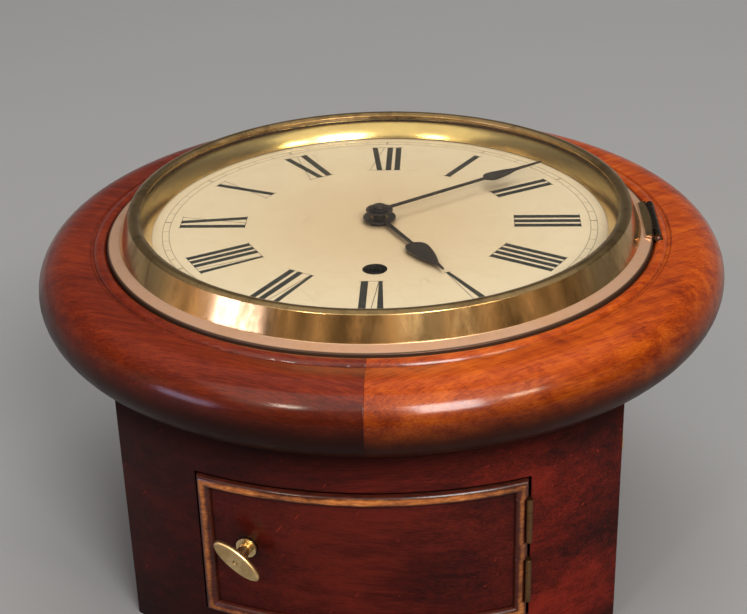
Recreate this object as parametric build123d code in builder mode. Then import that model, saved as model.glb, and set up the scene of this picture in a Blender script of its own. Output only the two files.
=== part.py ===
from build123d import *
import os
from math import acos, asin, atan2, cos, degrees, hypot, pi, radians, sin, sqrt

# A small English dial clock: a round mahogany surround with a brass bezel, a painted dial
# and a spring-driven fusee movement with a short pendulum, in a box with a bowed bottom.
# It lies on its back. Millimetres: the origin is on the axis of the hands, in the plane of
# the back. +Z points out of the dial, +Y to twelve o'clock and +X to three o'clock.

# Wooden case
SURROUND_R = 152.0
SURROUND_MID = 125.0
SURROUND_ROUND = 16.0
SURROUND_BORE = 98.0
BOX_DEPTH = SURROUND_MID - SURROUND_ROUND
BOX_LEFT, BOX_RIGHT = -104.6, 100.8
BOX_TOP = 105.0
BOARD = 9.0
BACK_BOARD = 8.0
BOW_R = 165.0
BOW_Y = 32.0
BOW_IN = BOW_R - BOARD
SURROUND_TOP = SURROUND_MID + SURROUND_ROUND

# Dial and bezel
DIAL_R = 106.5
DIAL_BACK = 141.6
DIAL_FACE = 143.2
REBATE = 139.5
REBATE_R = 121.2
SIGHT_R = 101.0
BEZEL_R = 110.8
BEZEL_FLANGE_R = 120.6
BEZEL_TOP = 155.0
LIP_R = 105.4
BEZEL_FOOT_R = 115.2
FLANGE_EDGE, FLANGE_TOP = 142.4, 143.6
GLASS_BED = 150.6
GLASS_LOW = 151.9
GLASS_HIGH = 153.5
RIM_EDGE = 154.1

# Hands: angles clockwise from twelve, and the height that each hand starts at
MINUTE_ANGLE, MINUTE_LOW = 53.2, 148.5
HOUR_ANGLE, HOUR_LOW = 151.4, 144.9
HAND_THICK = 0.8
PIPE_TOP = 151.2
PIN_Z = PIPE_TOP - 0.95

# Bottom door, on the bowed board, and side door, on the right-hand board
DOOR_LEFT, DOOR_RIGHT = -69.3, 62.1
DOOR_LOW, DOOR_HIGH = 20.6, 87.0
DOOR_GAP = 0.6
LATCH_GAP = 1.1
HINGE_GAP = 1.3
BEAD_WIDTH, BEAD_PROUD = 5.2, 2.5
SIDE_HALF = 58.0
SIDE_LOW, SIDE_HIGH = 20.8, 88.1

# Hinges: the knuckle's axis stands off the surface by HINGE_OUT
KNUCKLE_R = 1.4
PIN_R = 0.65
RUNNING = 0.05
HINGE_OUT = 2.2
LEAF = 0.5
LEAF_DEEP = 8.0
KNUCKLE_GAP = 0.2
HINGE_LENGTH = 20.5
BEZEL_HINGE_LENGTH = 36.0
BEZEL_HINGE_X, BEZEL_HINGE_Z = 121.4, 142.9
BEZEL_KNUCKLE_R = 1.8
BEZEL_HINGE_ENDS = 0.16

# Turn catches
CATCH_SPINDLE_R = 2.6
CATCH_REACH = 31.0
CATCH_BEHIND = 3.2
CATCH_X = -50.2
CATCH_Z = 56.6
CATCH_TURN = 38.0
SIDE_CATCH_Z = 36.0
SIDE_CATCH_REACH = 24.5
SIDE_CATCH_TURN = 55.0

# Movement: where the arbors stand, and the levels of the plates
PLATE = 2.5
BACK_PLATE = 70.0
FRONT_PLATE = 116.0
BETWEEN = BACK_PLATE + PLATE
FUSEE = (0.0, -48.4)
BARREL = (-48.0, -66.0)
THIRD = (19.05, 19.14)
ESCAPE = (0.0, 30.15)
PALLETS = (0.0, 51.5)
MINUTE_STUD = (-18.0, 0.0)
PILLARS = ((44.0, 56.0), (-62.0, 56.0), (44.0, -78.0), (-66.0, -28.0))
FEET = ((44.0, 34.0), (-44.0, 34.0), (44.0, -72.0), (-22.0, -84.0))
BARREL_R = 22.5
BOB_Y = -91.1
PENDULUM_Z = 58.5

# Teeth: steps out from the pitch circle, in modules, and half widths, in tooth pitches
WHEEL_TOOTH = ((-1.4, 0.22), (0.0, 0.20), (0.5, 0.14), (0.9, 0.06))
LEAF_TOOTH = ((-1.3, 0.12), (0.0, 0.18), (0.35, 0.14), (0.65, 0.06))
RATCHET_TOOTH = ((-0.9, 0.49), (0.9, 0.1))

UP = (Align.CENTER, Align.CENTER, Align.MIN)


def keep(piece, name):
    """Labels a finished piece and writes it to its own file."""
    piece.part.label = name
    export_step(piece.part, f"parts/{name}.step")


def bar(x, y, low, high, radius, mode=Mode.ADD):
    """A round bar along the workplane's Z, in the part that is being built."""
    with Locations((x, y, low)):
        Cylinder(radius, high - low, align=UP, mode=mode)


def block(x, y, z, mode=Mode.ADD):
    """A block between the given (low, high) pairs, in the part that is being built."""
    centre = [(low + high) / 2 for low, high in (x, y, z)]
    with Locations(tuple(centre)):
        Box(x[1] - x[0], y[1] - y[0], z[1] - z[0], mode=mode)


def bow_y(x, radius=BOW_R):
    """Y of the bowed board's face at x."""
    return BOW_Y - sqrt(radius**2 - x**2)


def bowed_face(x_low, x_high, inner, outer):
    """The plan of a bowed strip between two radii and two values of x."""
    with BuildSketch() as plan:
        with Locations((0, BOW_Y)):
            Circle(outer)
            Circle(inner, mode=Mode.SUBTRACT)
        with Locations(((x_low + x_high) / 2, -outer / 2)):
            Rectangle(x_high - x_low, outer, mode=Mode.INTERSECT)
    return plan.sketch


def gear_face(plane, teeth, module, tooth, phase, rim=0.0, hub=0.0, spokes=0, bore=0.0):
    """A toothed outline with a tooth at the angle phase, in degrees, crossed out by spokes."""
    pitch_r, step = teeth * module / 2, 360 / teeth
    outline = []
    for number in range(teeth):
        middle = phase + number * step
        flank = [(pitch_r + out * module, width * step) for out, width in tooth]
        sides = [(r, middle - a) for r, a in flank] + [(r, middle + a) for r, a in reversed(flank)]
        outline += [(r * cos(radians(a)), r * sin(radians(a))) for r, a in sides]
    with BuildSketch(plane) as face:
        with BuildLine():
            Polyline(*outline, close=True)
        make_face()
        if rim:
            Circle(rim, mode=Mode.SUBTRACT)
            Circle(hub)
            with PolarLocations(rim / 2, spokes):
                Rectangle(rim + 1, hub * 0.55)
        if bore:
            Circle(bore, mode=Mode.SUBTRACT)
    return face.sketch


def make_surround():
    """The turned ring, glued up from two halves that meet at six and twelve o'clock."""
    bead_in, bead_out, quirk = REBATE_R, 126.9, 127.8
    for side, keep_side in (("left", Keep.BOTTOM), ("right", Keep.TOP)):
        with BuildPart() as ring:
            with BuildSketch(Plane.XZ):
                with BuildLine():
                    edge_r = SURROUND_R - SURROUND_ROUND
                    under = Polyline((SURROUND_BORE, BOX_DEPTH), (edge_r, BOX_DEPTH))
                    RadiusArc(under @ 1, (edge_r, SURROUND_TOP), -SURROUND_ROUND)
                    top = Polyline(
                        (edge_r, SURROUND_TOP),
                        (quirk + 0.8, SURROUND_TOP),
                        (quirk, SURROUND_TOP - 0.7),
                        (bead_out, SURROUND_TOP - 0.7),
                    )
                    ThreePointArc(top @ 1, (124.0, SURROUND_TOP + 1.2), (bead_in, SURROUND_TOP - 0.5))
                    Polyline(
                        (bead_in, SURROUND_TOP - 0.5),
                        (bead_in, REBATE),
                        (DIAL_R + 1.3, REBATE),
                        (DIAL_R + 1.3, DIAL_BACK),
                        (SURROUND_BORE, DIAL_BACK),
                        (SURROUND_BORE, BOX_DEPTH),
                    )
                make_face()
            revolve(axis=Axis.Z)
            split(bisect_by=Plane.YZ, keep=keep_side)
            if side == "right":
                half = BEZEL_HINGE_LENGTH / 2
                outer = BEZEL_HINGE_X + BEZEL_KNUCKLE_R
                block((119.0, outer + 0.3), (-half - 0.5, half + 0.5), (139.9, 150.0), Mode.SUBTRACT)
                block((outer - 1.0, outer), (-half, half), (BEZEL_HINGE_Z - 7.0, 140.0), Mode.SUBTRACT)
            else:
                block((-116.2, -112.2), (-5.5, 5.5), (131.0, 150.0), Mode.SUBTRACT)
            dial_screw_bars(136.0, DIAL_BACK, 1.2, Mode.SUBTRACT)
        keep(ring, f"surround_{side}")


def dial_screw_bars(low, high, radius, mode=Mode.ADD):
    """Four bars where the dial's screws go."""
    with Locations((0, 0, low)):
        with PolarLocations(103.9, 4, start_angle=45):
            Cylinder(radius, high - low, align=UP, mode=mode)


def make_box():
    """The boards of the box behind the surround, and the battens and pegs that hold it."""
    peg_spots = [(y, 100.0) for y in (-38.0, 58.0)]
    inner_left, inner_right = BOX_LEFT + BOARD, BOX_RIGHT - BOARD
    for side, middle in (("left", BOX_LEFT + BOARD / 2), ("right", BOX_RIGHT - BOARD / 2)):
        with BuildPart() as board:
            with BuildSketch():
                with Locations((middle, 0)):
                    Rectangle(BOARD, 2 * BOX_TOP)
                with Locations((0, BOW_Y)):
                    Circle(BOW_IN, mode=Mode.INTERSECT)
            extrude(amount=BOX_DEPTH)
            if side == "right":
                opening_y = (-SIDE_HALF - DOOR_GAP, SIDE_HALF + DOOR_GAP)
                opening_z = (SIDE_LOW - LATCH_GAP, SIDE_HIGH + HINGE_GAP)
                block((inner_right - 1, BOX_RIGHT + 1), opening_y, opening_z, Mode.SUBTRACT)
            for y, z in peg_spots:
                with Locations(Location((middle, y, z), (0, 90, 0))):
                    Cylinder(3.2, 3 * BOARD, mode=Mode.SUBTRACT)
        keep(board, f"case_side_{side}")

    with BuildPart() as bottom:
        extrude(bowed_face(BOX_LEFT, BOX_RIGHT, BOW_IN, BOW_R), amount=BOX_DEPTH)
        opening_x = (DOOR_LEFT - LATCH_GAP, DOOR_RIGHT + HINGE_GAP)
        block(opening_x, (-150, -80), (DOOR_LOW - DOOR_GAP, DOOR_HIGH + DOOR_GAP), Mode.SUBTRACT)
    keep(bottom, "case_bottom")

    with BuildPart() as top:
        block((inner_left, inner_right), (BOX_TOP - BOARD, BOX_TOP), (0, BOX_DEPTH))
        block((-16, 16), (60, 130), (0, 2.4), Mode.SUBTRACT)
    keep(top, "case_top")

    with BuildPart() as back:
        with BuildSketch():
            with Locations(((inner_left + inner_right) / 2, (BOX_TOP - BOARD) / 2 - 75)):
                Rectangle(inner_right - inner_left, BOX_TOP - BOARD + 150)
            with Locations((0, BOW_Y)):
                Circle(BOW_IN, mode=Mode.INTERSECT)
        extrude(amount=BACK_BOARD)
        block((-16, 16), (66, 130), (0, 2.4), Mode.SUBTRACT)
        for x, y in HANGING_SCREWS:
            bar(x, y, 0, 7, 1.3, Mode.SUBTRACT)
    keep(back, "back_board")

    with BuildPart() as battens:
        for reach in ((inner_left, inner_left + 12.6), (inner_right - 12.6, inner_right)):
            block(reach, (-56, 76), (91, BOX_DEPTH))
        for y, z in peg_spots:
            with Locations(Location((0, y, z), (0, 90, 0))):
                Cylinder(3.2, BOX_RIGHT - BOX_LEFT, mode=Mode.SUBTRACT)
    keep(battens, "surround_battens")

    with BuildPart() as pegs:
        for foot, turn in ((inner_left + 8.6, -90), (inner_right - 8.6, 90)):
            for y, z in peg_spots:
                with Locations(Location((foot, y, z), (0, turn, 0))):
                    Cylinder(3.2, 21.0, align=UP)
        chamfer(pegs.edges().filter_by(GeomType.CIRCLE), 0.6)
    keep(pegs, "case_pegs")


HANGING_SCREWS = ((-9.0, 74.0), (9.0, 74.0), (0.0, 88.0))


def make_hanging_plate():
    """The brass plate let into the back, with the hole that the wall screw goes through."""
    with BuildPart() as plate:
        with BuildSketch():
            with Locations((0, 90)):
                RectangleRounded(32, 48, 3)
            with Locations((0, 114)):
                Circle(13)
                Circle(4.5, mode=Mode.SUBTRACT)
        extrude(amount=2.4)
        for x, y in HANGING_SCREWS:
            bar(x, y, 0, 3, 1.3, Mode.SUBTRACT)
            bar(x, y, 0, 1.2, 2.8, Mode.SUBTRACT)
    keep(plate, "hanging_plate")
    with BuildPart() as screws:
        for x, y in HANGING_SCREWS:
            bar(x, y, 0.1, 1.2, 2.8)
            bar(x, y, 1.2, 7, 1.3)
            block((x - 2.5, x + 2.5), (y - 0.3, y + 0.3), (0, 0.5), Mode.SUBTRACT)
    keep(screws, "hanging_plate_screws")


def make_dial():
    """The painted iron dial, its screws and the feet that carry the movement."""
    with BuildPart() as dial:
        bar(0, 0, DIAL_BACK, DIAL_FACE, DIAL_R)
        bar(0, 0, DIAL_BACK, DIAL_FACE, 5.0, Mode.SUBTRACT)
        bar(*FUSEE, DIAL_BACK, DIAL_FACE, 5.3, Mode.SUBTRACT)
        dial_screw_bars(DIAL_BACK, DIAL_FACE, 1.2, Mode.SUBTRACT)
        dial_screw_bars(DIAL_FACE - 0.8, DIAL_FACE, 2.2, Mode.SUBTRACT)
    keep(dial, "dial_plate")
    with BuildPart() as screws:
        dial_screw_bars(136.0, DIAL_FACE - 0.8, 1.2)
        dial_screw_bars(DIAL_FACE - 0.8, DIAL_FACE, 2.2)
    keep(screws, "dial_screws")
    with BuildPart() as feet:
        for x, y in FEET:
            bar(x, y, FRONT_PLATE + PLATE, DIAL_BACK, 3.0)
            bar(x, y, FRONT_PLATE + PLATE, FRONT_PLATE + PLATE + 2, 4.2)
            bar(x, y, DIAL_BACK - 2, DIAL_BACK, 4.2)
    keep(feet, "dial_feet")


def make_bezel():
    """The cast brass bezel, its flat glass, the sight ring inside it and its spring catch."""
    wall_in = BEZEL_R - 3.4
    seat = GLASS_HIGH + 0.1
    with BuildPart() as bezel:
        with BuildSketch(Plane.XZ):
            with BuildLine():
                foot = Polyline(
                    (wall_in, GLASS_BED),
                    (BEZEL_FOOT_R - 2.8, DIAL_FACE + 0.3),
                    (109.0, DIAL_FACE + 0.3),
                    (109.0, REBATE + 0.2),
                    (BEZEL_FLANGE_R, REBATE + 0.2),
                    (BEZEL_FLANGE_R, FLANGE_EDGE - 0.5),
                    (BEZEL_FLANGE_R - 0.5, FLANGE_EDGE),
                    (BEZEL_FOOT_R + 0.3, FLANGE_TOP),
                    (BEZEL_FOOT_R, FLANGE_TOP + 0.3),
                    (BEZEL_R, RIM_EDGE),
                )
                crown = ThreePointArc(foot @ 1, (108.4, BEZEL_TOP), (LIP_R, RIM_EDGE - 0.1))
                Polyline(crown @ 1, (LIP_R, seat), (wall_in, seat), (wall_in, GLASS_BED))
            make_face()
        revolve(axis=Axis.Z)
        half = BEZEL_HINGE_LENGTH / 2
        notch = BEZEL_HINGE_X - BEZEL_KNUCKLE_R - 0.4
        block((notch, 125), (-half - 0.4, half + 0.4), (REBATE, 150), Mode.SUBTRACT)
    keep(bezel, "bezel_ring")

    with BuildPart() as glass:
        bar(0, 0, GLASS_LOW, GLASS_HIGH, wall_in - 0.1)
    keep(glass, "bezel_glass")

    with BuildPart() as sight:
        with BuildSketch(Plane.XZ):
            with BuildLine():
                Polyline(
                    (SIGHT_R, DIAL_FACE + 0.4),
                    (SIGHT_R + 1.0, DIAL_FACE + 0.4),
                    (wall_in - 0.1, GLASS_LOW - 1.2),
                    (wall_in - 0.1, GLASS_LOW - 0.1),
                    (wall_in - 0.9, GLASS_LOW - 0.1),
                    close=True,
                )
            make_face()
        revolve(axis=Axis.Z)
    keep(sight, "sight_ring")

    with BuildPart() as catch:
        block((-114.8, -113.6), (-4, 4), (132.5, REBATE + 0.2))
        block((-115.6, -113.6), (-4, 4), (132.5, 133.7))
    keep(catch, "bezel_catch")


def knuckles(length, moving, ends=0.3):
    """The stretches of a hinge's axis that the moving leaf's knuckle, or the fixed one's, takes.
    ends is each fixed knuckle's share of the length."""
    end = length * ends
    if moving:
        return [(end + KNUCKLE_GAP - length / 2, length / 2 - end - KNUCKLE_GAP)]
    return [(-length / 2, end - length / 2), (length / 2 - end, length / 2)]


def hinge_bore(length):
    """The hole for the pin, along the workplane's Z."""
    bar(0, 0, -length, length, PIN_R + RUNNING, Mode.SUBTRACT)


def butt_leaves(planes, moving, name):
    """Butt hinge leaves in a door's gap. In each plane Z is the axis, Y is out of the door
    and X points to the fixed side."""
    side = -1 if moving else 1
    plate_x = sorted((side * 0.1, side * (0.1 + LEAF)))
    with BuildPart() as leaves:
        for plane in planes:
            with BuildPart(plane, mode=Mode.PRIVATE) as leaf:
                block(plate_x, (-HINGE_OUT - LEAF_DEEP, -HINGE_OUT), (-HINGE_LENGTH / 2, HINGE_LENGTH / 2))
                for low, high in knuckles(HINGE_LENGTH, moving):
                    bar(0, 0, low, high, KNUCKLE_R)
                    block(plate_x, (-HINGE_OUT, 0), (low, high))
                hinge_bore(HINGE_LENGTH)
            add(leaf.part)
    keep(leaves, name)


def hinge_pins(planes, length, name):
    """Hinge pins, one in each plane."""
    with BuildPart() as pins:
        for plane in planes:
            with BuildPart(plane, mode=Mode.PRIVATE) as pin:
                bar(0, 0, -length / 2, length / 2, PIN_R)
            add(pin.part)
    keep(pins, name)


def door_hinges(prefix, planes):
    """Fixed leaves, moving leaves and pins of one door."""
    butt_leaves(planes, False, f"{prefix}_hinge_bases")
    butt_leaves(planes, True, f"{prefix}_hinge_leaves")
    hinge_pins(planes, HINGE_LENGTH, f"{prefix}_hinge_pins")


def make_bezel_hinge():
    """The hinge at three o'clock that the bezel opens on: a leaf let edgewise into the wood,
    and one that is faired down to the bezel's flange."""
    plane = Plane((BEZEL_HINGE_X, 0, BEZEL_HINGE_Z), x_dir=(1, 0, 0), z_dir=(0, -1, 0))
    half = BEZEL_HINGE_LENGTH / 2
    fixed = knuckles(BEZEL_HINGE_LENGTH, False, BEZEL_HINGE_ENDS)
    with BuildPart(plane) as base:
        leaf_x = (BEZEL_KNUCKLE_R - 1.0, BEZEL_KNUCKLE_R)
        block(leaf_x, (-7.0, -2.2), (-half, half))
        for low, high in fixed:
            bar(0, 0, low, high, BEZEL_KNUCKLE_R)
            block(leaf_x, (-2.3, 0), (low, high))
        hinge_bore(BEZEL_HINGE_LENGTH)
    keep(base, "bezel_hinge_base")
    with BuildPart(plane) as leaf:
        with BuildSketch(plane.offset(-half)):
            with BuildLine():
                ThreePointArc((-5.8, 0.72), (-2.9, 1.58), (0, BEZEL_KNUCKLE_R))
                Polyline(
                    (0, BEZEL_KNUCKLE_R),
                    (0, -0.88),
                    (-2.18, -0.88),
                    (-2.18, -0.22),
                    (-5.8, 0.72),
                )
            make_face()
        extrude(amount=BEZEL_HINGE_LENGTH)
        for low, high in fixed:
            reach = (low - KNUCKLE_GAP, high + KNUCKLE_GAP)
            block((-BEZEL_KNUCKLE_R - 0.2, 1), (-2, 3), reach, Mode.SUBTRACT)
        for low, high in knuckles(BEZEL_HINGE_LENGTH, True, BEZEL_HINGE_ENDS):
            bar(0, 0, low, high, BEZEL_KNUCKLE_R)
        hinge_bore(BEZEL_HINGE_LENGTH)
    keep(leaf, "bezel_hinge_leaf")
    hinge_pins([plane], BEZEL_HINGE_LENGTH, "bezel_hinge_pin")


def catch_plane(origin, outward, along, turn):
    """A plane on a door's face whose X is the thumb plate's length, turned from along."""
    length = Vector(*along).rotate(Axis((0, 0, 0), outward), turn)
    return Plane(origin, x_dir=length, z_dir=outward)


def make_catch(prefix, plane, reach):
    """A brass turn catch, and the tongue that it swings behind the frame."""
    with BuildPart(plane) as thumb:
        with BuildSketch(plane.offset(8.8)):
            Ellipse(11.6, 4.4)
        extrude(amount=2.8)
        fillet(thumb.edges(), 1.2)
        bar(0, 0, -BOARD - CATCH_BEHIND, 9.4, CATCH_SPINDLE_R)
        bar(0, 0, 0.3, 1.4, 4.4)
        bar(0, 0, 11.1, 12.0, 1.1, Mode.SUBTRACT)
    keep(thumb, f"{prefix}_catch_thumb_plate")
    back = -BOARD - CATCH_BEHIND
    with BuildPart(plane) as tongue:
        with BuildSketch(plane.offset(back - 1.5)):
            with Locations((3.5 - reach / 2, 0)):
                SlotOverall(reach, 7.0)
        extrude(amount=1.5)
    keep(tongue, f"{prefix}_catch_tongue")


def make_bottom_door():
    """The bowed door at six o'clock, with a cocked bead round it."""
    lean = degrees(asin(-CATCH_X / BOW_R))
    outward = (-sin(radians(lean)), -cos(radians(lean)), 0)
    along = (cos(radians(lean)), -sin(radians(lean)), 0)
    catch = catch_plane((CATCH_X, bow_y(CATCH_X), CATCH_Z), outward, along, -CATCH_TURN)
    hinge_x = DOOR_RIGHT + HINGE_GAP / 2
    hinge_y = bow_y(hinge_x) - HINGE_OUT
    hinges = [Plane((hinge_x, hinge_y, z), x_dir=(1, 0, 0), z_dir=(0, 0, -1)) for z in (39.0, 68.2)]

    with BuildPart() as panel:
        plan = bowed_face(DOOR_LEFT, DOOR_RIGHT, BOW_IN, BOW_R)
        extrude(plan.moved(Location((0, 0, DOOR_LOW))), amount=DOOR_HIGH - DOOR_LOW)
        with Locations(catch.location):
            Cylinder(CATCH_SPINDLE_R + 0.1, 4 * BOARD, mode=Mode.SUBTRACT)
    keep(panel, "bottom_door_panel")

    bead_out = BOW_R + BEAD_PROUD
    inner_left, inner_right = DOOR_LEFT + BEAD_WIDTH, DOOR_RIGHT - BEAD_WIDTH
    low, high = DOOR_LOW + BEAD_WIDTH, DOOR_HIGH - BEAD_WIDTH
    strips = (
        (DOOR_LEFT, DOOR_RIGHT, DOOR_LOW, low),
        (DOOR_LEFT, DOOR_RIGHT, high, DOOR_HIGH),
        (DOOR_LEFT, inner_left, low, high),
        (inner_right, DOOR_RIGHT, low, high),
    )
    with BuildPart() as bead:
        for x_low, x_high, z_low, z_high in strips:
            with BuildPart(mode=Mode.PRIVATE) as strip:
                plan = bowed_face(x_low, x_high, BOW_R, bead_out)
                extrude(plan.moved(Location((0, 0, z_low))), amount=z_high - z_low)
                for plane in hinges:
                    reach = (plane.origin.Z - HINGE_LENGTH / 2 - 0.4, plane.origin.Z + HINGE_LENGTH / 2 + 0.4)
                    block((hinge_x - KNUCKLE_R - 0.5, hinge_x + 5), (-140, -110), reach, Mode.SUBTRACT)
            add(strip.part)
    keep(bead, "bottom_door_beading")

    door_hinges("bottom_door", hinges)
    make_catch("bottom", catch, CATCH_REACH)


def make_side_door():
    """The flat door in the right-hand side, hinged along its front edge."""
    catch = catch_plane((BOX_RIGHT, 0, SIDE_CATCH_Z), (1, 0, 0), (0, 0, 1), -SIDE_CATCH_TURN)
    hinge_z = SIDE_HIGH + HINGE_GAP / 2
    hinge_x = BOX_RIGHT + HINGE_OUT
    hinges = [Plane((hinge_x, y, hinge_z), x_dir=(0, 0, 1), z_dir=(0, 1, 0)) for y in (-38.0, 38.0)]
    with BuildPart() as panel:
        block((BOX_RIGHT - BOARD, BOX_RIGHT), (-SIDE_HALF, SIDE_HALF), (SIDE_LOW, SIDE_HIGH))
        with Locations(catch.location):
            Cylinder(CATCH_SPINDLE_R + 0.1, 4 * BOARD, mode=Mode.SUBTRACT)
    keep(panel, "side_door_panel")
    door_hinges("side_door", hinges)
    make_catch("side", catch, SIDE_CATCH_REACH)


def hand_plane(angle, height):
    """A plane whose Y points along a hand that stands at angle, clockwise from twelve."""
    a = radians(angle)
    return Plane((0, 0, height), x_dir=(cos(a), -sin(a), 0), z_dir=(0, 0, 1))


def make_hand(name, plane, boss, bore, stem, spade, tip):
    """A blued steel spade hand: boss, tapering stem, and a spade that runs to a fine point.
    spade is (start, widest, half width, end), measured out from the boss."""
    start, widest, half, end = spade
    with BuildPart() as hand:
        with BuildSketch(plane):
            with BuildLine() as edge:
                Line((0, boss - 1), (stem, boss - 1))
                Line((stem, boss - 1), (stem * 0.8, start))
                back = Spline((stem * 0.8, start), (half * 0.75, start + 1.4), (half, widest))
                front = Spline(back @ 1, (half * 0.72, (widest + end) / 2), (0.9, end))
                Line(front @ 1, (0.25, tip))
                Line((0.25, tip), (0, tip))
                mirror(edge.line, about=Plane.YZ)
            make_face()
            Circle(boss)
            Circle(bore, mode=Mode.SUBTRACT)
        extrude(amount=HAND_THICK)
    keep(hand, name)


def make_hands():
    """Hour and minute hands, and the washer and taper pin that hold them on."""
    hour, minute = hand_plane(HOUR_ANGLE, HOUR_LOW), hand_plane(MINUTE_ANGLE, MINUTE_LOW)
    make_hand("hour_hand", hour, 7.3, 4.0, 1.0, (31.5, 38.5, 4.9, 54.0), 60.0)
    make_hand("minute_hand", minute, 6.0, 2.6, 0.9, (59.0, 65.0, 3.7, 77.0), 93.0)
    low = MINUTE_LOW + HAND_THICK
    with BuildPart() as washer:
        bar(0, 0, low, low + 0.7, 4.4)
        bar(0, 0, low, low + 0.7, 2.6, Mode.SUBTRACT)
        with Locations(Location((0, 0, PIN_Z), (0, 90, 0))):
            Cylinder(0.35, 9.0)
    keep(washer, "hand_washer")


def make_motion_work():
    """Cannon pinion, minute wheel and hour wheel, which give twelve to one."""
    with BuildPart() as cannon:
        extrude(gear_face(Plane((0, 0, 120.0)), 18, 0.5, LEAF_TOOTH, 180.0), amount=3.4)
        bar(0, 0, 118.9, PIPE_TOP, 2.6)
        bar(0, 0, 118.0, 147.0, 1.55, Mode.SUBTRACT)
        with Locations(Location((0, 0, PIN_Z), (0, 90, 0))):
            Cylinder(0.45, 9.0, mode=Mode.SUBTRACT)
    keep(cannon, "cannon_pinion")
    with BuildPart() as minute_wheel:
        plane = Plane((*MINUTE_STUD, 120.6))
        extrude(gear_face(plane, 54, 0.5, WHEEL_TOOTH, 180 / 54, 10.5, 5.0, 4), amount=1.6)
        plane = Plane((*MINUTE_STUD, 122.2))
        extrude(gear_face(plane, 12, 0.6, LEAF_TOOTH, 0.0), amount=6.0)
        bar(*MINUTE_STUD, 119.0, 130.0, 1.55, Mode.SUBTRACT)
    keep(minute_wheel, "minute_wheel")
    with BuildPart() as hour_wheel:
        plane = Plane((0, 0, 124.6))
        extrude(gear_face(plane, 48, 0.6, WHEEL_TOOTH, 180 + 180 / 48, 11.0, 6.0, 4), amount=1.8)
        bar(0, 0, 124.6, 145.7, 4.0)
        bar(0, 0, 124.0, 146.0, 2.7, Mode.SUBTRACT)
    keep(hour_wheel, "hour_wheel")


def make_plates():
    """Front and back plates, their pillars, and the stud that the minute wheel runs on."""
    pivots = ((*THIRD, 0.8), (*ESCAPE, 0.8))
    wide = ((*BARREL, 3.0),)
    for name, low in (("back_plate", BACK_PLATE), ("front_plate", FRONT_PLATE)):
        front = name == "front_plate"
        with BuildPart() as plate:
            with BuildSketch(Plane.XY.offset(low)):
                with Locations((-10, -16)):
                    Rectangle(120, 160)
                Circle(96.5, mode=Mode.INTERSECT)
            extrude(amount=PLATE)
            for x, y, radius in (*pivots, *wide):
                bar(x, y, low, low + PLATE, radius + RUNNING, Mode.SUBTRACT)
            bar(*FUSEE, low, low + PLATE, 3.1 + RUNNING, Mode.SUBTRACT)
            bar(0, 0, low, low + PLATE, (1.5 if front else 0.8) + RUNNING, Mode.SUBTRACT)
            bar(*PALLETS, low, low + PLATE, 0.85 if front else 3.5, Mode.SUBTRACT)
            if front:
                bar(*MINUTE_STUD, low + PLATE, 129.0, 1.5)
        keep(plate, name)
    with BuildPart() as pillars:
        for x, y in PILLARS:
            bar(x, y, BETWEEN, FRONT_PLATE, 3.2)
            bar(x, y, BETWEEN, BETWEEN + 3, 4.4)
            bar(x, y, FRONT_PLATE - 3, FRONT_PLATE, 4.4)
            bar(x, y, (BETWEEN + FRONT_PLATE) / 2 - 2, (BETWEEN + FRONT_PLATE) / 2 + 2, 4.0)
    keep(pillars, "plate_pillars")


def fusee_radius(z):
    """Radius of the fusee's cone, which opens towards the great wheel."""
    share = (z - 77.0) / 27.0
    return 11.5 + 8.5 * share**1.5


def make_fusee():
    """The grooved fusee, its great wheel and the arbor with the winding square."""
    turns, low, high = 10, 77.0, 104.0
    pitch = (high - low) / turns
    edge = [(3.4, low), (fusee_radius(low), low)]
    for turn in range(turns):
        z = low + turn * pitch
        edge += [(fusee_radius(z + 0.5 * pitch) - 0.9, z + 0.5 * pitch), (fusee_radius(z + pitch), z + pitch)]
    edge += [(3.4, high)]
    with BuildPart() as cone:
        with BuildSketch(Plane.XZ.offset(-FUSEE[1])):
            with BuildLine():
                Polyline(*edge, close=True)
            make_face()
        revolve(axis=Axis((FUSEE[0], FUSEE[1], 0), (0, 0, 1)))
    keep(cone, "fusee_cone")
    module = 2 * hypot(*FUSEE) / 104
    with BuildPart() as wheel:
        plane = Plane((*FUSEE, 107.5))
        extrude(gear_face(plane, 96, module, WHEEL_TOOTH, 90.0, 37.0, 12.0, 5, 3.4), amount=3.0)
    keep(wheel, "great_wheel")
    with BuildPart() as arbor:
        bar(*FUSEE, BETWEEN, FRONT_PLATE, 3.4)
        bar(*FUSEE, BACK_PLATE, BETWEEN, 3.1)
        bar(*FUSEE, FRONT_PLATE, 119.5, 3.1)
        block((-2.1, 2.1), (FUSEE[1] - 2.1, FUSEE[1] + 2.1), (119.5, 140.6))
    keep(arbor, "fusee_arbor")


def make_barrel():
    """The spring barrel, and its arbor with the set-up ratchet."""
    low, high, wall = 76.0, 105.5, 1.6
    with BuildPart() as barrel:
        bar(*BARREL, low, high, BARREL_R)
        bar(*BARREL, low, low + wall, BARREL_R + 0.7)
        bar(*BARREL, high - wall, high, BARREL_R + 0.7)
        bar(*BARREL, low + wall, high - wall, BARREL_R - wall, Mode.SUBTRACT)
        bar(*BARREL, low, high, 3.4 + RUNNING, Mode.SUBTRACT)
    keep(barrel, "spring_barrel")

    with BuildPart() as arbor:
        bar(*BARREL, BETWEEN, FRONT_PLATE, 3.4)
        bar(*BARREL, BACK_PLATE, 121.5, 3.0)
        plane = Plane((*BARREL, FRONT_PLATE + PLATE + 0.1))
        extrude(gear_face(plane, 20, 0.8, RATCHET_TOOTH, 0.0), amount=2.0)
    keep(arbor, "barrel_arbor")


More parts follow.
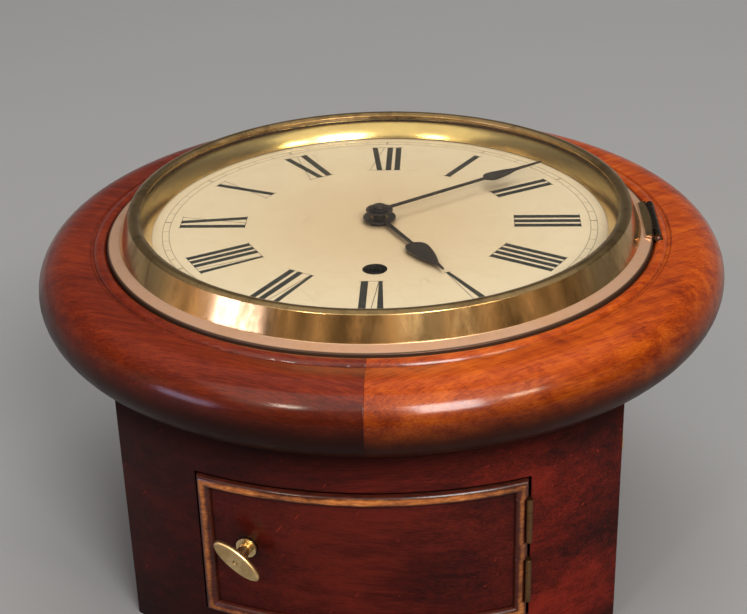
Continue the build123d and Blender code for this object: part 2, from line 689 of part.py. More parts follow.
def make_gut_line():
    """The stretch of gut between the barrel and the fusee, just clear of both."""
    z, line_r, gap = 92.0, 0.7, 0.3
    from_r = BARREL_R + line_r + gap
    to_r = fusee_radius(z) + line_r + gap
    dx, dy = FUSEE[0] - BARREL[0], FUSEE[1] - BARREL[1]
    angle = atan2(dy, dx) - acos((from_r - to_r) / hypot(dx, dy))
    start = (BARREL[0] + from_r * cos(angle), BARREL[1] + from_r * sin(angle), z)
    end = (FUSEE[0] + to_r * cos(angle), FUSEE[1] + to_r * sin(angle), z)
    run = Vector(*end) - Vector(*start)
    with BuildPart() as line:
        with BuildSketch(Plane(start, z_dir=run.normalized())):
            Circle(line_r)
        extrude(amount=run.length)
    keep(line, "gut_line")


def make_wheel_and_arbor(name, spot, wheel, pinion):
    """A train wheel and its arbor with leaves cut on it. wheel and pinion are
    (teeth, module, phase, low, thickness, ...), the wheel's ending in (rim, hub, spokes)."""
    arbor_r = 1.6 if name == "centre" else 1.25
    teeth, module, phase, low, thick, rim, hub, spokes = wheel
    with BuildPart() as plate:
        plane = Plane((*spot, low))
        extrude(gear_face(plane, teeth, module, WHEEL_TOOTH, phase, rim, hub, spokes, arbor_r), amount=thick)
    keep(plate, f"{name}_wheel")
    teeth, module, phase, low, thick = pinion
    with BuildPart() as arbor:
        extrude(gear_face(Plane((*spot, low)), teeth, module, LEAF_TOOTH, phase), amount=thick)
        bar(*spot, BETWEEN + 0.3, FRONT_PLATE - 0.3, arbor_r)
        bar(*spot, BACK_PLATE, BETWEEN + 0.3, 0.8)
        if name == "centre":
            bar(*spot, FRONT_PLATE - 0.3, 146.5, 1.5)
        else:
            bar(*spot, FRONT_PLATE - 0.3, FRONT_PLATE + PLATE, 0.8)
    keep(arbor, f"{name}_arbor")


def make_train():
    """Centre, third and escape wheels. Each pinion stands in mesh with the wheel before it."""
    first = 2 * hypot(*FUSEE) / 104
    second = 2 * hypot(*THIRD) / 104
    third = 2 * hypot(ESCAPE[0] - THIRD[0], ESCAPE[1] - THIRD[1]) / 96
    to_third = degrees(atan2(THIRD[1], THIRD[0]))
    to_escape = degrees(atan2(ESCAPE[1] - THIRD[1], ESCAPE[0] - THIRD[0]))
    half_leaf = 22.5
    make_wheel_and_arbor(
        "centre", (0, 0), (96, second, to_third, 98.0, 1.8, 20.5, 6.5, 4), (8, first, -90 + half_leaf, 106.0, 6.0)
    )
    make_wheel_and_arbor(
        "third",
        THIRD,
        (88, third, to_escape, 84.0, 1.5, 16.6, 5.0, 4),
        (8, second, to_third + 180 + half_leaf, 96.5, 4.8),
    )
    with BuildPart() as escape:
        with BuildSketch(Plane((*ESCAPE, 91.0))):
            with BuildLine():
                tip, root, teeth = 15.0, 12.4, 36
                outline = []
                for number in range(teeth):
                    middle = 2 * pi * number / teeth
                    for radius, lag in ((root, -0.055), (tip, 0.0), (tip, 0.012), (root, 0.05)):
                        outline.append((radius * cos(middle + lag), radius * sin(middle + lag)))
                Polyline(*outline, close=True)
            make_face()
            Circle(10.8, mode=Mode.SUBTRACT)
            Circle(3.6)
            with PolarLocations(5.4, 4):
                Rectangle(11.6, 1.9)
            Circle(1.1, mode=Mode.SUBTRACT)
        extrude(amount=1.4)
    keep(escape, "escape_wheel")
    with BuildPart() as arbor:
        extrude(gear_face(Plane((*ESCAPE, 82.4)), 8, third, LEAF_TOOTH, to_escape + 180 + half_leaf), amount=4.6)
        bar(*ESCAPE, BETWEEN + 0.3, FRONT_PLATE - 0.3, 1.1)
        bar(*ESCAPE, BACK_PLATE, BETWEEN + 0.3, 0.8)
        bar(*ESCAPE, FRONT_PLATE - 0.3, FRONT_PLATE + PLATE, 0.8)
    keep(arbor, "escape_arbor")


def make_escapement():
    """The anchor with its arbor and crutch, and the cock that it and the pendulum hang from."""
    x, y = PALLETS
    with BuildPart() as anchor:
        with BuildSketch(Plane((x, y, 90.4))):
            with Locations((0, -11.5)):
                Circle(13.4)
                Circle(10.9, mode=Mode.SUBTRACT)
            with Locations((0, 4.0)):
                Rectangle(40, 23.6, mode=Mode.INTERSECT)
            with Locations((-12.0, -7.7), (12.0, -7.7)):
                Rectangle(2.4, 3.0)
            Circle(3.4)
        extrude(amount=2.6)
        bar(x, y, 63.0, FRONT_PLATE, 0.8)
        bar(x, y, 65.2, FRONT_PLATE - 0.3, 1.4)
        bar(x, y, FRONT_PLATE, FRONT_PLATE + PLATE, 0.8)
        bar(x, y, 66.2, 68.6, 3.0)
        block((x - 1.6, x + 1.6), (20.0, y), (66.6, 67.8))
        block((x - 3.2, x + 3.2), (19.0, 22.0), (66.6, 67.8))
        bar(x - 2.2, 20.5, 55.0, 66.8, 0.6)
        bar(x + 2.2, 20.5, 55.0, 66.8, 0.6)
    keep(anchor, "pallet_anchor")

    with BuildPart() as cock:
        block((-21, 21), (48.5, 62.0), (62.4, 64.9))
        for side in (-18, 18):
            bar(side, 56, 64.9, BACK_PLATE, 2.6)
        bar(x, y, 62.0, 65.0, 0.85, Mode.SUBTRACT)
        block((-4.5, 4.5), (52.4, 60.0), (54.5, 62.4))
        block((-0.7, 0.7), (50.0, 58.6), (54.0, 61.8), Mode.SUBTRACT)
    keep(cock, "back_cock")


def make_pendulum():
    """Suspension spring, rod, bob and rating nut, hanging towards six o'clock."""
    down = Plane((0, 0, PENDULUM_Z), x_dir=(1, 0, 0), z_dir=(0, -1, 0))
    with BuildPart() as rod:
        block((-0.15, 0.15), (36.0, 57.4), (56.0, 61.0))
        block((-2.0, 2.0), (34.0, 40.0), (55.6, 61.4))
        with Locations(down.offset(-36.0).location):
            Cylinder(1.3, 153.5, align=UP)
    keep(rod, "pendulum_rod")

    with BuildPart() as bob:
        with BuildSketch(Plane.XY.offset(PENDULUM_Z)) as disc:
            with Locations((0, BOB_Y)):
                Circle(19.0)
        extrude(amount=5.5, both=True)
        fillet(bob.edges().filter_by(GeomType.CIRCLE), 2.6)
        with Locations(down.offset(-36.0).location):
            Cylinder(1.35, 160.0, align=UP, mode=Mode.SUBTRACT)
    keep(bob, "pendulum_bob")

    with BuildPart() as nut:
        with BuildSketch(down.offset(-(BOB_Y - 19.4))):
            RegularPolygon(4.2, 12)
        extrude(amount=3.4)
        with Locations(down.location):
            Cylinder(1.35, 300.0, mode=Mode.SUBTRACT)
    keep(nut, "rating_nut")


def main():
    os.makedirs("parts", exist_ok=True)
    make_surround()
    make_box()
    make_hanging_plate()
    make_dial()
    make_bezel()
    make_bezel_hinge()
    make_bottom_door()
    make_side_door()
    make_hands()
    make_motion_work()
    make_plates()
    make_fusee()
    make_barrel()
    make_gut_line()
    make_train()
    make_escapement()
    make_pendulum()


main()
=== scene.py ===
from math import atan2, cos, hypot, pi, radians, sin, sqrt

import bmesh
import bpy
from mathutils import Matrix, Vector


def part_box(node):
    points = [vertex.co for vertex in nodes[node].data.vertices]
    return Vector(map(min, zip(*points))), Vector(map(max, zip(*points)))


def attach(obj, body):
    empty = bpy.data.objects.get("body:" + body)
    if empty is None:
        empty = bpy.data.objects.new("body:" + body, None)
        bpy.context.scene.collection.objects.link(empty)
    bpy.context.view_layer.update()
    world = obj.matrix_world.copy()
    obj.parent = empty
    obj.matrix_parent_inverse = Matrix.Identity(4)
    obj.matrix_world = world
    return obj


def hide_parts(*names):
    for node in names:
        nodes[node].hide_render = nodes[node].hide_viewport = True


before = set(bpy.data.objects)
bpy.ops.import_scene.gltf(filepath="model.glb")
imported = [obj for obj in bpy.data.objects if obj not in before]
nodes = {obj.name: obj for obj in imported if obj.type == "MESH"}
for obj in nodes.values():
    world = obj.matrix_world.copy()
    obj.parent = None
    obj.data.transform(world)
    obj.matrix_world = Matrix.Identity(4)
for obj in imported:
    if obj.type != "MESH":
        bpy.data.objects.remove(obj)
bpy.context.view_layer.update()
MM = 0.001

# ---------------------------------------------------------------- camera


def aim_camera():
    """A hand-held view from the six o'clock side, looking down and rolled slightly."""
    pitch, yaw, roll = radians(27.271), radians(-3.314), radians(-1.644)
    forward = Vector((sin(yaw) * cos(pitch), cos(yaw) * cos(pitch), -sin(pitch)))
    level = Vector((cos(yaw), -sin(yaw), 0))
    upright = level.cross(forward)
    right = level * cos(roll) + upright * sin(roll)
    up = -level * sin(roll) + upright * cos(roll)
    data = bpy.data.cameras.new("camera")
    data.sensor_width = 36.0
    data.lens = 76.31
    data.clip_start = 0.01
    data.clip_end = 50
    camera = bpy.data.objects.new("camera", data)
    turn = Matrix((right, up, -forward)).transposed()
    camera.matrix_world = Matrix.Translation((0.0335, -0.6445, 0.4331)) @ turn.to_4x4()
    bpy.context.scene.collection.objects.link(camera)
    bpy.context.scene.camera = camera


aim_camera()

# ---------------------------------------------------------------- node helpers


class Shader:
    """A material's node tree, with short calls for the nodes used here."""

    def __init__(self, name):
        self.mat = bpy.data.materials.new(name)
        self.mat.use_nodes = True
        self.tree = self.mat.node_tree
        self.tree.nodes.clear()
        self.out = self.tree.nodes.new("ShaderNodeOutputMaterial")
        self.coords = self.tree.nodes.new("ShaderNodeTexCoord").outputs["Object"]

    def node(self, kind, **values):
        n = self.tree.nodes.new(kind)
        for key, value in values.items():
            self.put(n, key, value)
        return n

    def put(self, n, key, value):
        """Sets a node's property, or sets or links its input."""
        socket = n.inputs.get(key.replace("_", " ")) if isinstance(key, str) else n.inputs[key]
        if socket is None:
            setattr(n, key, value)
        elif isinstance(value, bpy.types.NodeSocket):
            self.tree.links.new(value, socket)
        else:
            socket.default_value = value

    def place(self, turn=(0, 0, 0), scale=(1, 1, 1), shift=(0, 0, 0)):
        """Object coordinates, turned first and then stretched."""
        turned = self.node("ShaderNodeMapping")
        turned.inputs["Rotation"].default_value = turn
        self.tree.links.new(self.coords, turned.inputs["Vector"])
        stretched = self.node("ShaderNodeMapping")
        stretched.inputs["Scale"].default_value = scale
        stretched.inputs["Location"].default_value = shift
        self.tree.links.new(turned.outputs[0], stretched.inputs["Vector"])
        return stretched.outputs[0]

    def axes(self):
        """The three object coordinates, apart."""
        return self.node("ShaderNodeSeparateXYZ", Vector=self.coords).outputs

    def radius(self):
        """Distance from the hands' axis."""
        x, y = self.axes()[0], self.axes()[1]
        squares = (self.maths("MULTIPLY", x, x), self.maths("MULTIPLY", y, y))
        return self.maths("SQRT", self.maths("ADD", *squares))

    def noise(self, vector, scale, detail=4.0, rough=0.5, distortion=0.0):
        n = self.node("ShaderNodeTexNoise", Vector=vector, Scale=scale, Detail=detail, Roughness=rough)
        n.inputs["Distortion"].default_value = distortion
        return n.outputs["Fac"]

    def span(self, value, low, high, to_low=0.0, to_high=1.0, smooth=True):
        n = self.node("ShaderNodeMapRange", Value=value)
        n.interpolation_type = "SMOOTHSTEP" if smooth else "LINEAR"
        for key, v in (("From Min", low), ("From Max", high), ("To Min", to_low), ("To Max", to_high)):
            n.inputs[key].default_value = v
        return n.outputs[0]

    def ramp(self, value, *stops):
        n = self.node("ShaderNodeValToRGB")
        self.tree.links.new(value, n.inputs[0])
        elements = n.color_ramp.elements
        while len(elements) < len(stops):
            elements.new(0.5)
        for element, (place, colour) in zip(elements, stops):
            element.position = place
            element.color = (*colour, 1)
        return n.outputs[0]

    def mix(self, share, a, b, blend="MIX"):
        n = self.node("ShaderNodeMix")
        n.data_type = "RGBA"
        n.blend_type = blend
        for index, value in ((0, share), (6, a), (7, b)):
            if isinstance(value, bpy.types.NodeSocket):
                self.tree.links.new(value, n.inputs[index])
            else:
                n.inputs[index].default_value = value if index == 0 else (*value, 1)
        return n.outputs[2]

    def maths(self, operation, a, b=0.0, clamp=False):
        n = self.node("ShaderNodeMath")
        n.operation = operation
        n.use_clamp = clamp
        for index, value in ((0, a), (1, b)):
            if isinstance(value, bpy.types.NodeSocket):
                self.tree.links.new(value, n.inputs[index])
            else:
                n.inputs[index].default_value = value
        return n.outputs[0]

    def bump(self, height, strength, distance, normal=None):
        n = self.node("ShaderNodeBump", Height=height, Strength=strength, Distance=distance)
        if normal is not None:
            self.tree.links.new(normal, n.inputs["Normal"])
        return n.outputs[0]

    def rounded(self, radius):
        n = self.node("ShaderNodeBevel", Radius=radius)
        n.samples = 6
        return n.outputs[0]

    def crevice(self, distance):
        n = self.node("ShaderNodeAmbientOcclusion", Distance=distance)
        n.samples = 8
        n.only_local = False
        return n.outputs["AO"]

    def finish(self, **values):
        bsdf = self.node("ShaderNodeBsdfPrincipled")
        for key, value in values.items():
            self.put(bsdf, key, value)
        self.tree.links.new(bsdf.outputs[0], self.out.inputs[0])
        return self.mat


# ---------------------------------------------------------------- materials

# Colour of soiling and painted shade in the wood's corners.
GRIME_AND_SHADE = (0.006, 0.003, 0.002)
# Colour of the painted shade that darkens the wood by height.
HEIGHT_SHADE_COLOUR = (0.010, 0.0018, 0.0008)
SHADED_WOOD = (0.010, 0.0018, 0.0014)
PORE_DARKENING = 0.22
# Radii of the painted shadow line at the bezel flange's outer edge.
FLANGE_SHADOW_LINE = (0.1195, 0.1202)


def wood(
    name, dark, middle, light, turn, figure=0.0, coat=1.0, gloss=0.14, grime_and_shade=0.5, worn=0.0, pores=0.6,
    seed=0.0, height_shade=None, corner=0.008, blotch=0.20, shine=0.08, shaded=0.0,
):
    """Varnished mahogany: grain along X after the turn, pores, figure, soiling and painted shade in the
    corners.
    sooty is (bright height, dark height, share): painted shade that darkens the wood from one height to
    the other and dulls its coat there.
    shaded is how much the wood darkens towards -X."""
    s = Shader(name)
    streaks = s.noise(s.place(turn, (1.0, 12.0, 12.0), (seed, 0, 0)), 20.0, 8.0, 0.66, 0.5)
    fine = s.noise(s.place(turn, (1.0, 20.0, 20.0), (seed + 3, 0, 0)), 95.0, 5.0, 0.65)
    broad = s.noise(s.place(turn, (1.0, 2.2, 2.2), (seed + 7, 0, 0)), 12.0, 3.0, 0.5, 0.6)
    tone = s.maths("ADD", s.maths("MULTIPLY", streaks, 0.38), s.maths("MULTIPLY", fine, 0.42))
    tone = s.maths("ADD", tone, s.maths("MULTIPLY", s.maths("SUBTRACT", broad, 0.5), blotch))
    tone = s.maths("ADD", tone, 0.10)
    if figure:
        slant = (turn[0], turn[1], turn[2] + radians(62))
        bands = s.noise(s.place(slant, (0.35, 1.0, 1.0), (seed, 1, 0)), 105.0, 4.0, 0.6, 0.8)
        tone = s.maths("ADD", tone, s.maths("MULTIPLY", s.maths("SUBTRACT", bands, 0.5), figure))
    colour = s.ramp(tone, (0.38, dark), (0.50, middle), (0.64, light))
    cells = s.noise(s.place(turn, (1.0, 15.0, 15.0), (seed + 11, 0, 0)), 210.0, 2.0, 0.6)
    pore = s.span(cells, 0.60, 0.72)
    colour = s.mix(s.maths("MULTIPLY", pore, pores), colour, tuple(c * PORE_DARKENING for c in dark))
    # Soiling and painted shade: darker where ambient occlusion finds nearby surfaces, in corners and
    # recesses.
    if grime_and_shade:
        shade = s.span(s.crevice(corner), 0.30, 0.92, grime_and_shade, 0.0)
        colour = s.mix(shade, colour, GRIME_AND_SHADE)
    # Painted shade: the wood darkens from one height to the other, and its coat dulls there.
    if height_shade:
        bright_height, dark_height, share = height_shade
        height = s.maths("ADD", s.axes()[2], s.maths("MULTIPLY", s.maths("SUBTRACT", broad, 0.5), 0.008))
        height_shade_share = s.span(height, dark_height, bright_height, share, 0.0)
        colour = s.mix(height_shade_share, colour, HEIGHT_SHADE_COLOUR)
        coat = s.span(height_shade_share, 0.0, 1.0, coat, coat * 0.12)
    if shaded:
        colour = s.mix(s.span(s.axes()[0], 0.085, -0.085, 0.0, shaded), colour, SHADED_WOOD)
    scuff = s.noise(s.place((0, 0, 0), (1, 1, 1), (seed, 5, 2)), 60.0, 6.0, 0.7)
    rough = s.span(scuff, 0.4, 0.75, 0.34, 0.50)
    if worn:
        patches = s.span(s.noise(s.coords, 42.0, 7.0, 0.72, 0.6), 0.60, 0.74, 0.0, worn)
        colour = s.mix(patches, colour, light)
        marks = s.noise(s.place((0.2, 0.9, 0.4), (1.0, 30.0, 30.0), (seed, 1, 4)), 26.0, 2.0, 0.5)
        colour = s.mix(s.span(marks, 0.72, 0.76, 0.0, 0.5), colour, tuple(c * 2.2 for c in light))
    smooth = s.rounded(0.0006)
    bump = s.bump(cells, 0.12, 0.0002, smooth)
    waves = s.noise(s.coords, 45.0, 2.0, 0.5)
    level = s.maths("SUBTRACT", s.maths("MULTIPLY", waves, 3.0), s.maths("MULTIPLY", pore, 0.5))
    coat_normal = s.bump(level, 0.05, 0.0003, smooth)
    return s.finish(
        Base_Color=colour,
        Roughness=rough,
        Specular_IOR_Level=shine,
        Coat_Weight=coat,
        Coat_Roughness=gloss,
        Coat_IOR=1.45,
        Normal=bump,
        Coat_Normal=coat_normal,
    )


def bead_wood(name):
    """The door's bead: dark in its quirks and worn to bare golden wood along its crest."""
    s = Shader(name)
    crest = s.node("ShaderNodeAttribute", attribute_name="crest").outputs["Fac"]
    rub = s.noise(s.coords, 130.0, 6.0, 0.7, 0.3)
    gaps = s.noise(s.coords, 24.0, 3.0, 0.6)
    rubbed = s.maths("MULTIPLY", s.maths("SUBTRACT", rub, 0.5), 0.45)
    rubbed = s.maths("ADD", rubbed, s.maths("MULTIPLY", gaps, 0.7))
    worn = s.span(s.maths("ADD", crest, rubbed), 1.10, 1.50)
    grain = s.noise(s.place((0, 0, 0), (1.0, 6.0, 6.0)), 160.0, 5.0, 0.6)
    bare = s.ramp(
        grain, (0.3, (0.24, 0.055, 0.011)), (0.55, (0.56, 0.190, 0.042)), (0.8, (0.80, 0.40, 0.14))
    )
    stained = s.ramp(grain, (0.3, (0.022, 0.005, 0.003)), (0.7, (0.080, 0.014, 0.007)))
    colour = s.mix(worn, stained, bare)
    bump = s.bump(rub, 0.15, 0.0004)
    return s.finish(
        Base_Color=colour, Roughness=s.span(rub, 0.3, 0.7, 0.28, 0.45), Specular_IOR_Level=0.1,
        Coat_Weight=0.55, Coat_Roughness=0.16, Normal=bump, Coat_Normal=bump,
    )


def bare_pine(name):
    """Unvarnished softwood, darkened with age."""
    s = Shader(name)
    rings = s.noise(s.place((0, 0, radians(90)), (1.0, 14.0, 14.0)), 18.0, 6.0, 0.6, 0.5)
    colour = s.ramp(
        rings, (0.3, (0.16, 0.085, 0.035)), (0.55, (0.32, 0.19, 0.09)), (0.8, (0.42, 0.27, 0.14))
    )
    stain = s.span(s.noise(s.coords, 22.0, 4.0), 0.45, 0.7, 0.0, 0.5)
    colour = s.mix(stain, colour, (0.10, 0.055, 0.03))
    bump = s.bump(rings, 0.3, 0.0005, s.rounded(0.0006))
    return s.finish(Base_Color=colour, Roughness=0.75, Normal=bump)


def brass(name, colour, dull, rough, tarnish, scratches=0.03, seed=0.0, upright=1.0, satin=None):
    """Brass with patchy tarnish and fine polishing marks. upright below 1 draws the patches out
    along Z. satin is (height, colour) of a duller zone below that height, with a painted shadow line
    at the flange's edge; a piece with one also has upright bands of tarnish and painted reflection."""
    s = Shader(name)
    spots = s.noise(s.place((0, 0, 0), (1, 1, upright), (seed, 0, 0)), 70.0, 6.0, 0.65)
    patch = s.span(spots, 0.42, 0.72, 0.0, tarnish)
    tint = s.mix(patch, colour, dull)
    # Soiling and painted shade: darker in the crevices that ambient occlusion finds.
    dirt_and_shade = s.span(s.crevice(0.0025), 0.25, 0.9, 0.75, 0.0)
    tint = s.mix(dirt_and_shade, tint, (0.055, 0.032, 0.016))
    marks = s.noise(s.place((0.3, 0.2, 0.5), (1.0, 18.0, 6.0), (seed, 0, 0)), 900.0, 2.0, 0.6)
    polish = s.span(marks, 0.3, 0.7, rough * 0.75, rough * 1.3)
    roughness = s.maths("ADD", polish, s.maths("MULTIPLY", patch, 0.25))
    metal = 1.0
    if satin:
        # Tarnish and painted reflection: upright dark bands on the bezel's wall.
        bands = s.noise(s.place((0, 0, 0), (1, 1, 0.03)), 58.0, 5.0, 0.62, 0.4)
        tint = s.mix(s.span(bands, 0.50, 0.60, 0.0, 0.35), tint, (0.20, 0.115, 0.045))
        zone = s.span(s.axes()[2], satin[0], satin[0] - 0.0004)
        tint = s.mix(zone, tint, s.mix(s.maths("MULTIPLY", patch, 0.6), satin[1], dull))
        roughness = s.maths("ADD", roughness, s.maths("MULTIPLY", zone, 0.20))
        metal = s.span(zone, 0.0, 1.0, 1.0, 0.62)
        # Painted shadow: a dark line at the flange's outer edge, where it meets the wood.
        tint = s.mix(s.span(s.radius(), *FLANGE_SHADOW_LINE, 0.0, 0.9), tint, (0.030, 0.012, 0.006))
    bump = s.bump(marks, scratches, 0.0001, s.rounded(0.0003))
    return s.finish(Base_Color=tint, Metallic=metal, Roughness=roughness, Normal=bump)


def steel(name, colour, rough, rust=0.15):
    """Ground steel with a little brown staining."""
    s = Shader(name)
    spots = s.span(s.noise(s.coords, 260.0, 5.0, 0.7), 0.55, 0.75, 0.0, rust)
    tint = s.mix(spots, colour, (0.16, 0.07, 0.03))
    lines = s.noise(s.place((0, 0, 0.4), (1.0, 20.0, 20.0)), 700.0, 2.0)
    bump = s.bump(lines, 0.05, 0.0001, s.rounded(0.0002))
    ground = s.span(lines, 0.3, 0.7, rough, rough * 1.4)
    return s.finish(Base_Color=tint, Metallic=0.95, Roughness=ground, Normal=bump)


def blackened(name):
    """Blackened steel hands, brown at the thin places."""
    s = Shader(name)
    mottle = s.noise(s.coords, 300.0, 5.0, 0.6)
    colour = s.ramp(
        mottle, (0.3, (0.010, 0.008, 0.009)), (0.6, (0.028, 0.017, 0.014)), (0.8, (0.06, 0.035, 0.025))
    )
    bump = s.bump(mottle, 0.06, 0.0001, s.rounded(0.0003))
    return s.finish(
        Base_Color=colour, Metallic=0.35, Roughness=0.34, Coat_Weight=0.3, Coat_Roughness=0.2, Normal=bump
    )


def dial_paint(name):
    """Cream paint on iron, yellower towards the middle, with faint mottling and fine cracks."""
    s = Shader(name)
    edge = s.span(s.radius(), 0.015, 0.095, 0.0, 1.0)
    colour = s.mix(edge, (0.715, 0.530, 0.335), (0.800, 0.655, 0.465))
    mottle = s.span(s.noise(s.coords, 55.0, 6.0, 0.6), 0.4, 0.75, 0.0, 0.22)
    colour = s.mix(mottle, colour, (0.640, 0.455, 0.270))
    specks = s.span(s.noise(s.coords, 620.0, 3.0, 0.7), 0.69, 0.76, 0.0, 0.5)
    colour = s.mix(specks, colour, (0.22, 0.13, 0.07))
    cracks = s.node("ShaderNodeTexVoronoi", Vector=s.coords, Scale=75.0)
    cracks.feature = "DISTANCE_TO_EDGE"
    line = s.span(cracks.outputs["Distance"], 0.0, 0.012, 0.22, 0.0)
    colour = s.mix(line, colour, (0.35, 0.22, 0.12))
    # Soiling and painted shade: darker near the sight ring and the hands, where ambient occlusion finds
    # them.
    grime_and_shade = s.span(s.crevice(0.006), 0.4, 1.0, 0.5, 0.0)
    colour = s.mix(grime_and_shade, colour, (0.30, 0.17, 0.08))
    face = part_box("dial_plate")[1].z
    bare_iron = s.span(s.axes()[2], face - 0.0001, face - 0.0002)
    colour = s.mix(bare_iron, colour, (0.018, 0.012, 0.008))
    wave = s.noise(s.coords, 90.0, 3.0)
    return s.finish(
        Base_Color=colour,
        Roughness=s.span(mottle, 0.0, 0.22, 0.36, 0.5),
        Coat_Weight=0.25,
        Coat_Roughness=0.2,
        Normal=s.bump(wave, 0.05, 0.0004),
    )


def dial_ink(name, black=(0.020, 0.022, 0.020), worn=(0.16, 0.13, 0.09)):
    """The black of the numerals, thin in places."""
    s = Shader(name)
    thin = s.span(s.noise(s.coords, 420.0, 4.0, 0.7), 0.5, 0.8, 0.0, 0.45)
    colour = s.mix(thin, black, worn)
    return s.finish(Base_Color=colour, Roughness=0.42, Coat_Weight=0.2, Coat_Roughness=0.25)


def clear_glass(name):
    """Flat clock glass: clear, with a reflection that grows towards grazing angles."""
    s = Shader(name)
    clear = s.node("ShaderNodeBsdfTransparent", Color=(0.975, 0.985, 0.975, 1))
    shine = s.node("ShaderNodeBsdfGlossy", Color=(1, 1, 1, 1), Roughness=0.02)
    facing = s.node("ShaderNodeLayerWeight", Blend=0.5).outputs["Facing"]
    fresnel = s.maths("ADD", s.maths("MULTIPLY", s.maths("POWER", facing, 5.0), 0.96), 0.04)
    both = s.node("ShaderNodeMixShader")
    s.tree.links.new(fresnel, both.inputs[0])
    s.tree.links.new(clear.outputs[0], both.inputs[1])
    s.tree.links.new(shine.outputs[0], both.inputs[2])
    s.tree.links.new(both.outputs[0], s.out.inputs[0])
    return s.mat


def gut(name):
    """Twisted gut."""
    s = Shader(name)
    strands = s.noise(s.place((0, 0, 0.4), (1, 8, 8)), 600.0, 3.0)
    colour = s.ramp(strands, (0.3, (0.22, 0.12, 0.05)), (0.7, (0.55, 0.36, 0.17)))
    return s.finish(Base_Color=colour, Roughness=0.5, Normal=s.bump(strands, 0.4, 0.0003))


def floor_material(name):
    s = Shader(name)
    cloud = s.noise(s.coords, 3.0, 3.0)
    colour = s.mix(s.span(cloud, 0.3, 0.7, 0.0, 0.25), (0.262, 0.267, 0.277), (0.24, 0.245, 0.255))
    return s.finish(Base_Color=colour, Roughness=0.55, Specular_IOR_Level=0.3)


POLISHED = (0.88, 0.58, 0.25)
AGED = (0.66, 0.44, 0.19)
TARNISH = (0.40, 0.22, 0.08)

MATS = {
    "ring_left": wood(
        "mahogany_dark", (0.060, 0.0042, 0.0008), (0.132, 0.0125, 0.0018), (0.235, 0.028, 0.004),
        (0, 0, radians(20)), figure=0.12, grime_and_shade=0.6, pores=0.6, coat=0.85, height_shade=(0.144, 0.121, 0.97),
    ),
    "ring_right": wood(
        "mahogany_bright", (0.165, 0.016, 0.0006), (0.33, 0.045, 0.0014), (0.50, 0.098, 0.005),
        (0, 0, radians(-33)), figure=0.34, grime_and_shade=0.6, pores=0.75, seed=4.0, coat=0.85,
        height_shade=(0.143, 0.119, 0.95),
    ),
    "box": wood(
        "mahogany_box", (0.018, 0.0016, 0.0010), (0.070, 0.0050, 0.0026), (0.170, 0.013, 0.0060),
        (0, radians(4), 0), figure=0.0, coat=0.3, gloss=0.24, grime_and_shade=0.95, worn=0.25, pores=0.5, seed=9.0,
        height_shade=(0.085, 0.110, 0.75), corner=0.02, blotch=0.55, shine=0.02, shaded=0.8,
    ),
    "door": wood(
        "mahogany_door", (0.020, 0.0016, 0.0010), (0.056, 0.0046, 0.0026), (0.115, 0.011, 0.0055),
        (0, radians(-6), 0), figure=0.12, coat=0.3, gloss=0.24, grime_and_shade=0.97, worn=0.3, pores=0.5, seed=14.0,
        corner=0.024, blotch=0.5, shine=0.02, shaded=0.45,
    ),
    "bead": bead_wood("bead_wood"),
    "pine": bare_pine("pine"),
    "bezel": brass(
        "bezel_brass", POLISHED, TARNISH, 0.15, 0.5, upright=0.12, satin=(0.1440, (0.68, 0.42, 0.28)),
    ),
    "sight": brass("sight_brass", (0.90, 0.64, 0.24), TARNISH, 0.17, 0.2, upright=0.3),
    "fitting": brass("fitting_brass", (0.84, 0.62, 0.31), (0.36, 0.22, 0.09), 0.24, 0.7, seed=3.0),
    "hinge": brass("hinge_brass", (0.20, 0.105, 0.045), (0.035, 0.017, 0.009), 0.36, 0.95, seed=8.0),
    "work": brass("movement_brass", AGED, TARNISH, 0.28, 0.5, seed=6.0),
    "steel": steel("ground_steel", (0.52, 0.52, 0.53), 0.25),
    "old_steel": steel("old_steel", (0.075, 0.062, 0.055), 0.4, 0.6),
    "hands": blackened("blackened_steel"),
    "dial": dial_paint("dial_paint"),
    "ink": dial_ink("dial_black"),
    "faint_ink": dial_ink("dial_faint_black", (0.30, 0.24, 0.165), (0.52, 0.41, 0.28)),
    "glass": clear_glass("clock_glass"),
    "gut": gut("gut"),
    "floor": floor_material("floor"),
}

LOOKS = {
    "ring_left": ["surround_left"],
    "ring_right": ["surround_right"],
    "box": ["case_side_left", "case_side_right", "case_top", "case_bottom", "case_pegs"],
    "door": ["bottom_door_panel", "side_door_panel"],
    "bead": ["bottom_door_beading"],
    "pine": ["back_board", "surround_battens"],
    "bezel": ["bezel_ring", "bezel_hinge_base", "bezel_hinge_leaf"],
    "sight": ["sight_ring"],
    "fitting": [
        "bottom_catch_thumb_plate", "side_catch_thumb_plate", "hanging_plate", "bottom_catch_tongue",
        "side_catch_tongue", "bezel_catch",
    ],
    "hinge": [
        "bottom_door_hinge_bases", "bottom_door_hinge_leaves", "side_door_hinge_bases",
        "side_door_hinge_leaves", "bottom_door_hinge_pins", "side_door_hinge_pins",
    ],
    "hands": ["minute_hand", "hour_hand", "hand_washer", "cannon_pinion"],
    "old_steel": ["fusee_arbor"],
    "dial": ["dial_plate"],
    "glass": ["bezel_glass"],
    "gut": ["gut_line"],
    "steel": [
        "bezel_hinge_pin", "dial_screws", "hanging_plate_screws", "centre_arbor", "third_arbor",
        "escape_arbor", "barrel_arbor", "pallet_anchor", "pendulum_rod",
    ],
    "work": [
        "hour_wheel", "minute_wheel", "centre_wheel", "third_wheel", "escape_wheel", "great_wheel",
        "fusee_cone", "spring_barrel", "front_plate", "back_plate", "plate_pillars", "dial_feet",
        "back_cock", "pendulum_bob", "rating_nut",
    ],
}

